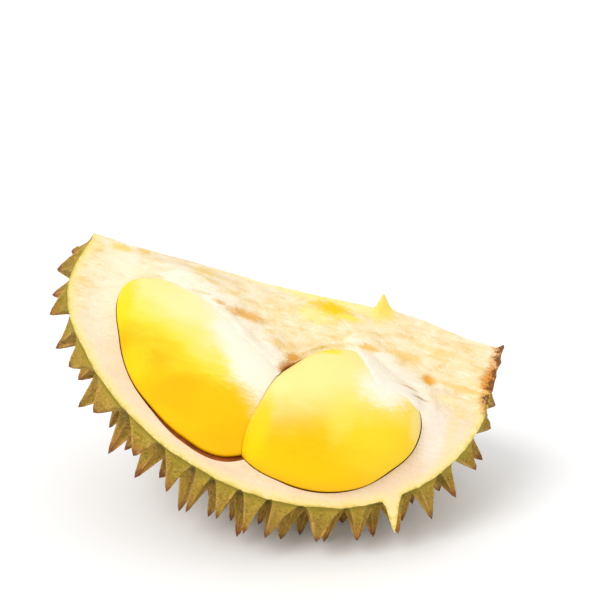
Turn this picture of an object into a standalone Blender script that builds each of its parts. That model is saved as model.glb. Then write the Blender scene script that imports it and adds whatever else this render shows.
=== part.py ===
"""Split piece of a ripe durian: a quarter of the spiny husk with two flesh pods lying in it.

Local frame of the piece: x runs along the axis of the fruit, p points from the axis to the rim
of the front split face, and q points from the axis to the rim of the back split face. The two
split faces meet at right angles along the axis. The piece is then rolled and stood on the tips
of its lowest spines. Metres, +Z up.
"""

import math

import bmesh
import bpy
import numpy as np
from mathutils import Matrix, Vector, noise

SEED = 19

# Body of the whole fruit, without its spines.
LEFT_LENGTH = 0.1340
RIGHT_LENGTH = 0.1060
RADIUS = 0.1090
LEFT_POWER = 1.84
RIGHT_POWER = 2.3
END_DIMPLE = 0.121  # share of the length that both ends are dented by
DIMPLE_WIDTH = 0.22  # radians round the axis
SWELL = 0.036  # underside left of the middle, share of the radius
HOLLOW = 0.040  # underside right of the middle, share of the radius
STUB_REACH = 0.1028  # torn remains of the stalk seat at the right end
STUB_RADIUS = 0.0320

# How the piece lies.
FRONT_ANGLE = math.radians(40)  # front split face, from straight down
ROLL = math.radians(16)  # left end up
FLOOR_CUT = 0.0060  # length worn off the lowest spine tip

# Spines.
SPINE_COUNT = 118
SPINE_LENGTH = 0.0195
SPINE_LEAN = 0.62  # how much of the outward slope along the axis a spine keeps
END_LEAN = 0.7  # added towards the torn end, whose spines point outwards along the fruit
SPINE_PROFILE = ((0.75, 0.16), (0.45, 0.53), (0.15, 0.90))  # share of the base width, of the length
CUT_SPINE_WIDTH = 0.5  # of its cell, for a spine that the front split goes through
RIM_CLEARANCE = 0.55  # of the spacing, between a spine's middle and a split face
RIM_SPINES = (  # two rows along the front rim: angle from +p towards +x, angle behind it, length
    (-82.0, 6.5, 0.0120),
    (-72.5, 6.0, 0.0125),
    (-66.0, 7.0, 0.0105),
    (-59.5, 6.0, 0.0106),
    (-47.5, 6.5, 0.0132),
    (-35.0, 6.5, 0.0140),
    (-23.0, 7.0, 0.0180),
    (-8.5, 6.5, 0.0167),
    (5.5, 7.0, 0.0195),
    (17.8, 6.5, 0.0178),
    (27.5, 7.0, 0.0180),
    (35.0, 1.0, 0.0178),
    (45.0, 6.5, 0.0189),
    (52.7, 7.0, 0.0165),
    (58.0, 6.0, 0.0131),
    (68.5, 6.5, 0.0075),
    (75.3, 7.0, 0.0065),
    (-88.0, 15.0, 0.0110),
    (-78.0, 14.5, 0.0175),
    (-68.0, 16.0, 0.0205),
    (-59.0, 16.5, 0.0145),
    (-52.5, 15.0, 0.0200),
    (-46.5, 19.5, 0.0170),
    (-40.8, 15.0, 0.0230),
    (-32.0, 15.5, 0.0232),
    (-18.7, 15.5, 0.0232),
    (-10.5, 16.5, 0.0200),
    (-2.8, 15.0, 0.0218),
    (9.2, 15.5, 0.0195),
    (14.5, 20.0, 0.0190),
    (21.5, 16.0, 0.0202),
    (32.4, 15.5, 0.0194),
    (53.0, 17.0, 0.0148),
    (63.9, 16.0, 0.0168),
)

# Split faces.
FRONT_CUT = 0.0015  # how far inside the axis the front split lies
BACK_CUT = 0.0025
RIDGE_RISE = 0.0050
SPUR_RISE = 0.0080
SPUR_PLACE = 0.0335
FACE_RELIEF = 0.0012
BACK_DISH = 0.0060

# Flesh pods: middle (x, p), outline radii every 30 degrees from +x towards +p, bulge, depth.
GAP = 0.0004
POD_LEFT = {
    "middle": (-0.045, 0.052),
    "radii": (43, 51, 49, 39, 35, 37.5, 44.5, 57, 43.5, 31, 27, 31),
    "bulge": 0.013,
    "depth": 0.034,
}
POD_RIGHT = {
    "middle": (0.030, 0.062),
    "radii": (40, 34.5, 34, 36.5, 43, 54, 47, 39, 38, 38, 36, 42),
    "bulge": 0.019,
    "depth": 0.034,
}


def local_axes():
    """Matrix that takes (x, p, q) to the world, before the piece is set on the floor."""
    side, down = math.sin(FRONT_ANGLE), math.cos(FRONT_ANGLE)
    axes = Matrix(((1, 0, 0), (0, -side, down), (0, -down, -side)))
    return (Matrix.Rotation(ROLL, 3, "Y") @ axes).to_4x4()


def body_points(directions):
    """Points of the smooth fruit body along unit directions."""
    right = directions[:, 0] > 0
    length = np.where(right, RIGHT_LENGTH, LEFT_LENGTH)
    power = np.where(right, RIGHT_POWER, LEFT_POWER)
    polar = np.arccos(np.clip(np.abs(directions[:, 0]), 0, 1))
    length = length * (1 - END_DIMPLE * np.exp(-((polar / DIMPLE_WIDTH) ** 2)))
    along = (np.abs(directions[:, 0]) / length) ** power
    across = (np.hypot(directions[:, 1], directions[:, 2]) / RADIUS) ** power
    under = np.sin(2 * np.arctan2(np.abs(directions[:, 2]), np.abs(directions[:, 1]))) ** 2
    swell = SWELL * np.exp(-(((directions[:, 0] + 0.12) / 0.25) ** 2))
    hollow = HOLLOW * np.exp(-(((directions[:, 0] - 0.42) / 0.25) ** 2))
    reach = (along + across) ** (-1 / power) * (1 + under * (swell - hollow))
    return directions * reach[:, None]


def body_normals(directions):
    """Outward normals of the fruit body along unit directions."""
    points = body_points(directions)
    right = directions[:, 0] > 0
    length = np.where(right, RIGHT_LENGTH, LEFT_LENGTH)
    power = np.where(right, RIGHT_POWER, LEFT_POWER)
    across = np.hypot(points[:, 1], points[:, 2])
    slope = (across / RADIUS) ** (power - 1) / RADIUS / np.maximum(across, 1e-9)
    normals = points * slope[:, None]
    normals[:, 0] = np.sign(points[:, 0]) * (np.abs(points[:, 0]) / length) ** (power - 1) / length
    return normals / np.linalg.norm(normals, axis=1)[:, None]


def mirrored(sites):
    """The sites of one quarter and their mirror images in both split faces."""
    signs = ((1, 1, 1), (1, -1, 1), (1, 1, -1), (1, -1, -1))
    return np.concatenate([sites * np.array(sign) for sign in signs])


def rim_sites():
    """Directions of the spines along the front rim."""
    along = np.radians([spine[0] for spine in RIM_SPINES])
    behind = np.radians([spine[1] for spine in RIM_SPINES])
    flat = np.cos(behind)
    return np.stack([np.sin(along) * flat, np.cos(along) * flat, np.sin(behind)], 1)


def scatter_sites(rng):
    """Directions of the spines in the quarter, spread evenly, none astride a split face."""
    spacing = math.sqrt(math.pi / SPINE_COUNT / 0.866)
    sites = rim_sites()
    while len(sites) < SPINE_COUNT:
        x = rng.uniform(-1, 1, 400)
        turn = rng.uniform(0, math.pi / 2, 400)
        across = np.sqrt(1 - x * x)
        tries = np.stack([x, across * np.cos(turn), across * np.sin(turn)], 1)
        clear = np.minimum(tries[:, 1], tries[:, 2])
        apart = np.linalg.norm(tries[:, None] - mirrored(sites)[None], axis=2).min(1)
        room = apart * np.minimum(clear / (RIM_CLEARANCE * spacing), 1)
        sites = np.concatenate([sites, tries[room.argmax()][None]])
    return sites


def end_taper(sites):
    """Share of the full spine length: short at the left end, worn stubs at the torn right end."""
    left = np.clip((-sites[:, 0] - 0.55) / 0.45, 0, 1)
    right = np.clip((sites[:, 0] - 0.80) / 0.17, 0, 1)
    return (1 - 0.45 * left) * (1 - 0.85 * right)


def spine_table(rng):
    """Sites, axes and lengths of all the spines."""
    sites = scatter_sites(rng)
    lengths = SPINE_LENGTH * end_taper(sites) * rng.uniform(0.80, 1.08, len(sites))
    lengths[: len(RIM_SPINES)] = [spine[2] for spine in RIM_SPINES]
    axes = body_normals(sites)
    axes[:, 0] *= SPINE_LEAN + END_LEAN * np.clip((sites[:, 0] - 0.78) / 0.14, 0, 1)
    axes = axes + rng.normal(0, 0.07, axes.shape)
    axes[:, 1:] = np.maximum(axes[:, 1:], 0)  # none leans across a split face
    axes = axes / np.linalg.norm(axes, axis=1)[:, None]
    return sites, axes, lengths


def cell_corners(sites):
    """Directions of the cell corners, and for each site the corners round it in order.

    The cells are those of the Voronoi diagram on the sphere: the faces of the convex hull of
    the sites have the corners as their normals.
    """
    hull = bmesh.new()
    verts = [hull.verts.new(site) for site in sites]
    bmesh.ops.convex_hull(hull, input=verts)
    bmesh.ops.triangulate(hull, faces=hull.faces)
    hull.normal_update()
    hull.faces.index_update()
    corners = np.array([face.normal for face in hull.faces])
    corners *= np.sign((corners * [face.calc_center_median() for face in hull.faces]).sum(1))[:, None]
    rounds = []
    for vert, site in zip(verts, sites):
        side = Vector(site).orthogonal().normalized()
        other = Vector(site).cross(side)
        found = [face.index for face in vert.link_faces]
        rounds.append(
            sorted(found, key=lambda i: math.atan2(other.dot(corners[i]), side.dot(corners[i])))
        )
    hull.free()
    return corners, rounds


def spiny_fruit(rng):
    """Closed mesh of the whole fruit: one concave-sided pyramid on each cell."""
    sites, axes, lengths = spine_table(rng)
    signs = ((1, 1, 1), (1, -1, 1), (1, 1, -1), (1, -1, -1))
    axes = np.concatenate([axes * np.array(sign) for sign in signs])
    lengths = np.tile(lengths, 4)
    sites = mirrored(sites)
    corners, rounds = cell_corners(sites)
    bm = bmesh.new()
    valley = [bm.verts.new(point) for point in body_points(corners)]
    for site, axis, length, order in zip(sites, axes, lengths, rounds):
        ring = [valley[i] for i in order]
        width = CUT_SPINE_WIDTH if abs(site[2]) < 0.03 < abs(site[1]) else 1.0
        for share, rise in SPINE_PROFILE:
            share *= width
            foot = site * (1 - share) + corners[order] * share
            foot = body_points(foot / np.linalg.norm(foot, axis=1)[:, None])
            inner = [bm.verts.new(point) for point in foot + axis * length * rise]
            for i in range(len(ring)):
                j = (i + 1) % len(ring)
                bm.faces.new((ring[i], ring[j], inner[j], inner[i]))
            ring = inner
        tip = bm.verts.new(body_points(site[None])[0] + axis * length)
        for i in range(len(ring)):
            bm.faces.new((ring[i], ring[(i + 1) % len(ring)], tip))
    bmesh.ops.remove_doubles(bm, verts=bm.verts, dist=1e-4)
    bm.normal_update()
    bmesh.ops.recalc_face_normals(bm, faces=bm.faces)
    return bm


def front_relief(x, p):
    """Height of the front split face above its plane: a raised core and soft unevenness."""
    core = 0.0022 * math.exp(-(((p - 0.004) / 0.016) ** 2))
    return core + FACE_RELIEF * noise.noise(Vector((x * 28, p * 40, 3.1)))


def back_relief(x, q):
    """Height of the back split face above its plane: gently dished, with a raised core."""
    dish = math.exp(-((x / 0.062) ** 2) - ((q - 0.060) / 0.030) ** 2)
    uneven = FACE_RELIEF * noise.noise(Vector((x * 28, q * 34, 9.4)))
    return 0.0015 * math.exp(-((q / 0.015) ** 2)) - BACK_DISH * dish + uneven


def ridge_height(x):
    """How far the core edge stands up: a low hump right of the middle and a torn spur on it."""
    hump = RIDGE_RISE * math.exp(-(((x - 0.045) / 0.045) ** 2))
    beside = x - SPUR_PLACE
    spur = SPUR_RISE * math.exp(-((beside / (0.0025 if beside < 0 else 0.0060)) ** 2))
    return hump + spur + 0.0010 * noise.noise(Vector((x * 45, 1.7, 5.2)))


def torn_stub(rng):
    """Closed mesh of the stalk seat: a short thick plug with a ragged outer face."""
    bm = bmesh.new()
    rings = []
    profile = ((0.080, 0.9), (STUB_REACH - 0.006, 1.0), (STUB_REACH, 0.90), (STUB_REACH, 0.55))
    for x, share in profile:
        ring = []
        for i in range(40):
            turn = 2 * math.pi * i / 40
            across = STUB_RADIUS * share * rng.uniform(0.95, 1.03)
            along = x + (rng.uniform(-0.0022, 0.0012) if x > 0.1 else 0)
            ring.append(bm.verts.new((along, across * math.cos(turn), across * math.sin(turn))))
        rings.append(ring)
    for first, second in zip(rings, rings[1:]):
        for i in range(40):
            j = (i + 1) % 40
            bm.faces.new((first[i], first[j], second[j], second[i]))
    bm.faces.new(rings[0])
    middle = bm.verts.new((STUB_REACH - 0.002, 0, 0))
    for i in range(40):
        bm.faces.new((rings[-1][i], rings[-1][(i + 1) % 40], middle))
    bm.normal_update()
    bmesh.ops.recalc_face_normals(bm, faces=bm.faces)
    return bm


def split_wedge():
    """Closed mesh of the quarter that is kept: two uneven split faces and a far boundary."""
    spacing = 0.0085
    stations = [SPUR_PLACE + spacing * i for i in range(-19, 10)]
    stations = sorted([*stations, SPUR_PLACE - 0.004, SPUR_PLACE + 0.004, -0.160, 0.150])
    reach = (0.160, 0.118, 0.107, 0.096, 0.085, 0.074, 0.063, 0.052, 0.041, 0.030, 0.020, 0.011, 0.004)
    bm = bmesh.new()
    rows = []
    for x in stations:
        row = [(x, p, FRONT_CUT - front_relief(x, p)) for p in reach]
        row.append((x, BACK_CUT - ridge_height(x) * 0.8, FRONT_CUT - ridge_height(x) * 0.6))
        row += [(x, BACK_CUT - back_relief(x, q), q) for q in reversed(reach)]
        row.append((x, 0.160, 0.160))
        rows.append([bm.verts.new(point) for point in row])
    for first, second in zip(rows, rows[1:]):
        for i in range(len(first)):
            j = (i + 1) % len(first)
            bm.faces.new((first[i], first[j], second[j], second[i]))
    bm.faces.new(rows[0])
    bm.faces.new(reversed(rows[-1]))
    bmesh.ops.triangulate(bm, faces=bm.faces)
    bm.normal_update()
    bmesh.ops.recalc_face_normals(bm, faces=bm.faces)
    return bm


def outline_radius(pod, turn, extra):
    """Radius of a pod's outline at an angle, by a smooth closed curve through its radii."""
    radii = pod["radii"]
    place = turn / (2 * math.pi) * len(radii)
    first = math.floor(place)
    t = place - first
    a, b, c, d = (radii[(first + k) % len(radii)] / 1000 for k in (-1, 0, 1, 2))
    bend = (2 * a - 5 * b + 4 * c - d) * t * t + (3 * b - a - 3 * c + d) * t**3
    return b + 0.5 * ((c - a) * t + bend) + extra


def pod_solid(pod, extra=0.0):
    """Closed mesh of a pod: its outline puffed up to the front and down into the husk."""
    bm = bmesh.new()
    bmesh.ops.create_uvsphere(bm, u_segments=36, v_segments=18, radius=1)
    for vert in bm.verts:
        x, y, z = vert.co
        across = math.hypot(x, y)
        full = (across**2.3 + abs(z) ** 2.3) ** (-1 / 2.3)
        turn = math.atan2(y, x) % (2 * math.pi)
        radius = outline_radius(pod, turn, extra) * across * full
        height = (pod["bulge"] if z > 0 else pod["depth"]) + extra
        vert.co = (
            pod["middle"][0] + radius * math.cos(turn),
            pod["middle"][1] + radius * math.sin(turn),
            0.002 - z * full * height,
        )
    bm.normal_update()
    bmesh.ops.recalc_face_normals(bm, faces=bm.faces)
    return bm


def material(name, colour, roughness):
    """Principled material with the colour and roughness of the part."""
    made = bpy.data.materials.new(name)
    made.use_nodes = True
    shader = made.node_tree.nodes["Principled BSDF"]
    shader.inputs["Base Color"].default_value = (*colour, 1)
    shader.inputs["Roughness"].default_value = roughness
    shader.inputs["Metallic"].default_value = 0.0
    made.diffuse_color = (*colour, 1)
    return made


def add_object(name, bm, parent, smooth):
    """Object from a mesh, in the local frame of its parent."""
    mesh = bpy.data.meshes.new(name)
    bm.to_mesh(mesh)
    bm.free()
    mesh.polygons.foreach_set("use_smooth", [smooth] * len(mesh.polygons))
    made = bpy.data.objects.new(name, mesh)
    made.parent = parent
    bpy.context.collection.objects.link(made)
    return made


def cut(target, tool, operation):
    """Boolean of a hidden tool on the target."""
    tool.hide_render = True
    tool.display_type = "WIRE"
    modifier = target.modifiers.new(tool.name, "BOOLEAN")
    modifier.operation = operation
    modifier.object = tool


def floor_block(top):
    """Block under the piece that wears the lowest spine tips flat."""
    bm = bmesh.new()
    bmesh.ops.create_cube(bm, size=0.5)
    bmesh.ops.translate(bm, verts=bm.verts, vec=(0, 0, top - 0.25))
    return bm


def centre_on_origin(piece, nodes):
    """Slide the piece so that the box round its nodes is centred over the origin."""
    bpy.context.view_layer.update()
    graph = bpy.context.evaluated_depsgraph_get()
    corners = []
    for node in nodes:
        shown = node.evaluated_get(graph)
        corners += [shown.matrix_world @ vert.co for vert in shown.data.vertices]
    low = Vector(map(min, zip(*corners)))
    high = Vector(map(max, zip(*corners)))
    piece.location.x -= (low.x + high.x) / 2
    piece.location.y -= (low.y + high.y) / 2


def main():
    for old in list(bpy.data.objects):
        bpy.data.objects.remove(old)
    rng = np.random.default_rng(SEED)
    fruit = spiny_fruit(rng)
    placing = local_axes()
    lowest = min((placing @ vert.co).z for vert in fruit.verts if vert.co.y > 0 and vert.co.z > 0)
    piece = bpy.data.objects.new("piece", None)
    piece.matrix_world = Matrix.Translation((0, 0, -lowest - FLOOR_CUT)) @ placing
    bpy.context.collection.objects.link(piece)
    husk = add_object("husk", fruit, piece, False)
    husk.data.materials.append(material("husk_skin", (0.33, 0.30, 0.09), 0.6))
    cut(husk, add_object("torn_stub", torn_stub(rng), piece, False), "UNION")
    cut(husk, add_object("split_wedge", split_wedge(), piece, False), "INTERSECT")
    nodes = [husk]
    for name, pod in (("pod_left", POD_LEFT), ("pod_right", POD_RIGHT)):
        made = add_object(name, pod_solid(pod), piece, True)
        made.data.materials.append(material(name + "_flesh", (0.95, 0.66, 0.05), 0.4))
        cut(husk, add_object(name + "_hollow", pod_solid(pod, 0.0008), piece, True), "DIFFERENCE")
        nodes.append(made)
    press = add_object("pod_press", pod_solid(POD_RIGHT, GAP), piece, True)
    cut(nodes[1], press, "DIFFERENCE")
    cut(husk, add_object("floor_block", floor_block(0), None, False), "DIFFERENCE")
    centre_on_origin(piece, nodes)


main()
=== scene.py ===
"""Looks of the split durian piece: spiny husk, cut pith and two flesh pods, on a white table.

Local frame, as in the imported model: x runs along the axis of the fruit, p points from the axis to
the rim of the front split face, q from the axis to the rim of the back split face. Metres, +Z up.
The body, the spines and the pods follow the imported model's constants and random draws, so the finer
pieces made here fall where its solids are. The split faces have relief of their own on top.
"""

import math

import bmesh
import bpy
import numpy as np
from mathutils import Matrix, Vector, kdtree, noise


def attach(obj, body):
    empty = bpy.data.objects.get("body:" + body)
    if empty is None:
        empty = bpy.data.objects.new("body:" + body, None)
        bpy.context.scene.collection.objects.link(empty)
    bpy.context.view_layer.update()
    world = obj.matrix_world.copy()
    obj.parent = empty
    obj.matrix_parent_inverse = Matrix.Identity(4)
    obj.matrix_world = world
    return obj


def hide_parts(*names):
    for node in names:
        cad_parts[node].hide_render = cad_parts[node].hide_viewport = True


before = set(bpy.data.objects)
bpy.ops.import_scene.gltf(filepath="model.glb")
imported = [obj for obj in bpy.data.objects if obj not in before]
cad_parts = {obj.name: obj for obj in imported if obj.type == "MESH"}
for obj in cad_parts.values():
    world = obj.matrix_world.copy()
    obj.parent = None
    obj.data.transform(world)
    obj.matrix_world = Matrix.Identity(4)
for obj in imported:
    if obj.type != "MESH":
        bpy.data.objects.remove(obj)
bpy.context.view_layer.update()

SEED = 19

# Where the local frame lies in the world.
ORIGIN = (0.0224205, -0.0071383, 0.1207265)
FRONT_ANGLE = math.radians(40)  # front split face, from straight down
ROLL = math.radians(16)  # left end up

# Body of the whole fruit, without its spines.
LEFT_LENGTH = 0.1340
RIGHT_LENGTH = 0.1060
RADIUS = 0.1090
LEFT_POWER = 1.84
RIGHT_POWER = 2.3
END_DIMPLE = 0.121  # share of the length that both ends are dented by
DIMPLE_WIDTH = 0.22  # radians round the axis
SWELL = 0.036  # underside left of the middle, share of the radius
HOLLOW = 0.040  # underside right of the middle, share of the radius
STUB_REACH = 0.1028  # torn remains of the stalk seat at the right end
STUB_RADIUS = 0.0320
STUB_DEPTH = 0.028

# Spines.
SPINE_COUNT = 118
SPINE_LENGTH = 0.0195
SPINE_LEAN = 0.62  # how much of the outward slope along the axis a spine keeps
AXIS_JITTER = 0.07  # spread of the spines' own directions
TIP_BOW = 0.045  # how far a spine bends sideways, share of its length
END_LEAN = 0.7  # added towards the torn end, whose spines point outwards along the fruit
TIP_POWER = 1.5  # bluntness of the tip
FOOT_POWER = 2.4  # hollowness of the foot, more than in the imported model
CUT_SPINE_WIDTH = 0.5  # of its cell, for a spine that the front split goes through
FLANK_HOLLOW = 0.40  # how far the flats between the ridges are drawn in
SPINE_CUTS = 6  # cuts of every edge of the coarse cells
COARSE_ROUGHNESS = 0.00045  # unevenness of the skin
FINE_ROUGHNESS = 0.00030
RIM_CLEARANCE = 0.55  # of the spacing, between a spine's middle and a split face
RIM_SPINES = (  # two rows along the front rim: angle from +p towards +x, angle behind it, length
    (-82.0, 6.5, 0.0120),
    (-72.5, 6.0, 0.0125),
    (-66.0, 7.0, 0.0105),
    (-59.5, 6.0, 0.0106),
    (-47.5, 6.5, 0.0132),
    (-35.0, 6.5, 0.0140),
    (-23.0, 7.0, 0.0180),
    (-8.5, 6.5, 0.0167),
    (5.5, 7.0, 0.0195),
    (17.8, 6.5, 0.0178),
    (27.5, 7.0, 0.0180),
    (35.0, 1.0, 0.0178),
    (45.0, 6.5, 0.0189),
    (52.7, 7.0, 0.0165),
    (58.0, 6.0, 0.0131),
    (68.5, 6.5, 0.0075),
    (75.3, 7.0, 0.0065),
    (-88.0, 15.0, 0.0110),
    (-78.0, 14.5, 0.0175),
    (-68.0, 16.0, 0.0205),
    (-59.0, 16.5, 0.0145),
    (-52.5, 15.0, 0.0200),
    (-46.5, 19.5, 0.0170),
    (-40.8, 15.0, 0.0230),
    (-32.0, 15.5, 0.0232),
    (-18.7, 15.5, 0.0232),
    (-10.5, 16.5, 0.0200),
    (-2.8, 15.0, 0.0218),
    (9.2, 15.5, 0.0195),
    (14.5, 20.0, 0.0190),
    (21.5, 16.0, 0.0202),
    (32.4, 15.5, 0.0194),
    (53.0, 17.0, 0.0148),
    (63.9, 16.0, 0.0168),
)

# Split faces.
SHEET_X = (-0.156, 0.132)  # ends of the sheet that both faces are bent from
SHEET_REACH = 0.136
SHEET_STEP_X = 0.0016
SHEET_STEP_P = 0.0009
FRONT_CUT = 0.0015  # how far inside the axis the front split lies
BACK_CUT = 0.0025
CORE_EDGE = 0.0035  # half width of the rounded edge where the two faces meet
RIDGE_RISE = 0.0050
SPUR_PLACE = 0.0335
SPUR_RISE = 0.0090  # 1 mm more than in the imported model, for its thin tip
SPUR_WIDTHS = (0.0010, 0.0046)  # left and right of its tip
CURL_PLACE = 0.1015  # crumb of core that stands up at the torn end
CURL_RISE = 0.0030
FRAY = 0.00045  # raggedness of the core edge
FACE_RELIEF = 0.0012
FACE_CORE = 0.0022  # swell of the front face along the axis
BACK_CORE = 0.0015
BACK_DISH = 0.0060
FIBRES = 0.00060  # height of the long fibres
FINE_FIBRES = 0.00040
FRONT_GRAIN = 0.00022
BACK_GRAIN = 0.00025
END_TEAR = 0.0018  # roughness of the front face beside the torn end
BANK = 0.0062  # how far the pith swells up against the flesh that it clings to
FILM = 0.0034  # how far the membrane rises over the flesh
THREAD_RISE = 0.0018  # loose thread beside the right pod
FRONT_PITS = (  # pits torn in the front face: depth, middle (x, p), reach
    (0.0016, (-0.031, 0.0225), (0.011, 0.0024)),
    (0.0100, (-0.0010, 0.0440), (0.0052, 0.0040)),
    (0.0018, (0.068, 0.0280), (0.0040, 0.0022)),
    (0.0010, (0.0336, 0.0217), (0.0045, 0.0022)),
)

# Flesh pods: middle (x, p), outline radii in mm every 30 degrees from +x towards +p, the gap to
# the husk in mm at the same places, below zero where the pith clings to the flesh, how far the
# flesh bulges out of the front face and reaches into the husk, and where the membrane clings to
# it: middle and half width of the arc, and inner edge as a share of the radii.
POD_LEFT = {
    "middle": (-0.045, 0.052),
    "radii": (43, 51, 49, 39, 35, 37.5, 44.5, 57, 43.5, 31, 27, 31),
    "gaps": (-0.5, 1.4, 2.8, 2.6, 1.1, 0.5, 0.3, 0.0, -0.6, -0.9, -0.9, -0.9),
    "bulge": 0.013,
    "depth": 0.034,
    "cling": (math.radians(300), math.radians(66), 0.80),
}
POD_RIGHT = {
    "middle": (0.030, 0.062),
    "radii": (40, 34.5, 34, 36.5, 43, 54, 47, 39, 38, 38, 36, 42),
    "gaps": (0.3, 0.6, 0.5, 0.6, 0.5, 0.2, 0.2, 0.1, -0.4, -0.9, -0.9, -0.5),
    "bulge": 0.019,
    "depth": 0.034,
    "cling": (math.radians(303), math.radians(40), 0.60),
}
POD_FULLNESS = 2.3  # power of the curve over a pod, round at 2 and boxy above
POD_SINK = 0.002  # how far a pod's widest outline lies behind the front face

# Light.
SKY_STRENGTH = 0.83
SUN_STRENGTH = 1.3
SUN_DIRECTION = (0.45, 0.5, -0.75)
SUN_WIDTH = 34  # degrees, wide for soft shadows
TABLE_GLOW = 0.05  # keeps the table white where the piece shades it

# Camera: degrees and metres. The last two slide it, so that the piece lies low in the view.
CAMERA_AZIMUTH = -4
CAMERA_ELEVATION = 23
CAMERA_DISTANCE = 0.788
CAMERA_RIGHT = 0.0138
CAMERA_UP = 0.1039

SKIN, PITH, SOCKET, TORN = range(4)  # material slots of the husk


# ---------------------------------------------------------------- frame


def local_axes():
    """Rows that turn (x, p, q) into the world's x, y, z."""
    side, down = math.sin(FRONT_ANGLE), math.cos(FRONT_ANGLE)
    axes = Matrix(((1, 0, 0), (0, -side, down), (0, -down, -side)))
    return np.array(Matrix.Rotation(ROLL, 3, "Y") @ axes)


def to_world(points):
    return points @ local_axes().T + np.array(ORIGIN)


def to_local(points):
    return (points - np.array(ORIGIN)) @ local_axes()


def unit(vectors):
    return vectors / np.linalg.norm(vectors, axis=-1)[..., None]


def flat_places(x, p=0.0):
    """Points of a split face laid flat, where the noise of its relief is read."""
    return np.stack([x, p + np.zeros_like(x), np.zeros_like(x)], 1)


def uneven(points, scale, shift):
    """Smooth noise from -1 to 1 at points, with its own scale along each axis."""
    places = points * np.array(scale) + np.array(shift)
    return np.array([noise.noise(Vector(place)) for place in places])


# ---------------------------------------------------------------- editing helpers


def read_points(piece):
    points = np.empty(len(piece.data.vertices) * 3)
    piece.data.vertices.foreach_get("co", points)
    return points.reshape(-1, 3)


def write_points(piece, points):
    piece.data.vertices.foreach_set("co", np.ascontiguousarray(points).ravel())
    piece.data.update()


def read_floats(piece, name):
    values = np.empty(len(piece.data.attributes[name].data))
    piece.data.attributes[name].data.foreach_get("value", values)
    return values


def activate_nothing():
    bpy.ops.object.select_all(action="DESELECT")
    bpy.context.view_layer.objects.active = None


def activate(piece):
    """Make the piece the only selected object, and the active one."""
    bpy.ops.object.select_all(action="DESELECT")
    piece.select_set(True)
    bpy.context.view_layer.objects.active = piece


def edit(piece, *steps):
    """Run edit-mode steps on the whole of the piece."""
    activate(piece)
    bpy.ops.object.mode_set(mode="EDIT")
    bpy.ops.mesh.select_all(action="SELECT")
    for step in steps:
        step()
    bpy.ops.object.mode_set(mode="OBJECT")


def face_outwards():
    bpy.ops.mesh.select_all(action="SELECT")
    bpy.ops.mesh.normals_make_consistent(inside=False)


def carve(piece, tool, operation):
    """Apply a Boolean of the tool to the piece, and remove the tool."""
    modifier = piece.modifiers.new(tool.name, "BOOLEAN")
    modifier.operation = operation
    modifier.solver = "MANIFOLD"
    modifier.object = tool
    activate(piece)
    bpy.ops.object.modifier_apply(modifier=modifier.name)
    bpy.data.objects.remove(tool)


def paint_all(piece, index):
    """Give every face of the piece the material slot with this index."""
    piece.data.polygons.foreach_set("material_index", [index] * len(piece.data.polygons))


def new_piece(name, mesh):
    piece = bpy.data.objects.new(name, mesh)
    bpy.context.collection.objects.link(piece)
    return piece


# ---------------------------------------------------------------- fruit body and spines


def body_points(directions):
    """Points of the smooth fruit body along unit directions."""
    right = directions[:, 0] > 0
    length = np.where(right, RIGHT_LENGTH, LEFT_LENGTH)
    power = np.where(right, RIGHT_POWER, LEFT_POWER)
    polar = np.arccos(np.clip(np.abs(directions[:, 0]), 0, 1))
    length = length * (1 - END_DIMPLE * np.exp(-((polar / DIMPLE_WIDTH) ** 2)))
    along = (np.abs(directions[:, 0]) / length) ** power
    across = (np.hypot(directions[:, 1], directions[:, 2]) / RADIUS) ** power
    under = np.sin(2 * np.arctan2(np.abs(directions[:, 2]), np.abs(directions[:, 1]))) ** 2
    swell = SWELL * np.exp(-(((directions[:, 0] + 0.12) / 0.25) ** 2))
    hollow = HOLLOW * np.exp(-(((directions[:, 0] - 0.42) / 0.25) ** 2))
    reach = (along + across) ** (-1 / power) * (1 + under * (swell - hollow))
    return directions * reach[:, None]


def body_normals(directions):
    """Outward normals of the fruit body along unit directions."""
    points = body_points(directions)
    right = directions[:, 0] > 0
    length = np.where(right, RIGHT_LENGTH, LEFT_LENGTH)
    power = np.where(right, RIGHT_POWER, LEFT_POWER)
    across = np.hypot(points[:, 1], points[:, 2])
    slope = (across / RADIUS) ** (power - 1) / RADIUS / np.maximum(across, 1e-9)
    normals = points * slope[:, None]
    normals[:, 0] = np.sign(points[:, 0]) * (np.abs(points[:, 0]) / length) ** (power - 1) / length
    return unit(normals)


def mirrored(sites):
    """The sites of one quarter and their mirror images in both split faces."""
    signs = ((1, 1, 1), (1, -1, 1), (1, 1, -1), (1, -1, -1))
    return np.concatenate([sites * np.array(sign) for sign in signs])


def rim_sites():
    """Directions of the spines along the front rim."""
    along = np.radians([spine[0] for spine in RIM_SPINES])
    behind = np.radians([spine[1] for spine in RIM_SPINES])
    flat = np.cos(behind)
    return np.stack([np.sin(along) * flat, np.cos(along) * flat, np.sin(behind)], 1)


def scatter_sites(rng):
    """Directions of the spines in the quarter, spread evenly, none astride a split face."""
    spacing = math.sqrt(math.pi / SPINE_COUNT / 0.866)
    sites = rim_sites()
    while len(sites) < SPINE_COUNT:
        x = rng.uniform(-1, 1, 400)
        turn = rng.uniform(0, math.pi / 2, 400)
        across = np.sqrt(1 - x * x)
        tries = np.stack([x, across * np.cos(turn), across * np.sin(turn)], 1)
        clear = np.minimum(tries[:, 1], tries[:, 2])
        apart = np.linalg.norm(tries[:, None] - mirrored(sites)[None], axis=2).min(1)
        room = apart * np.minimum(clear / (RIM_CLEARANCE * spacing), 1)
        sites = np.concatenate([sites, tries[room.argmax()][None]])
    return sites


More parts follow.
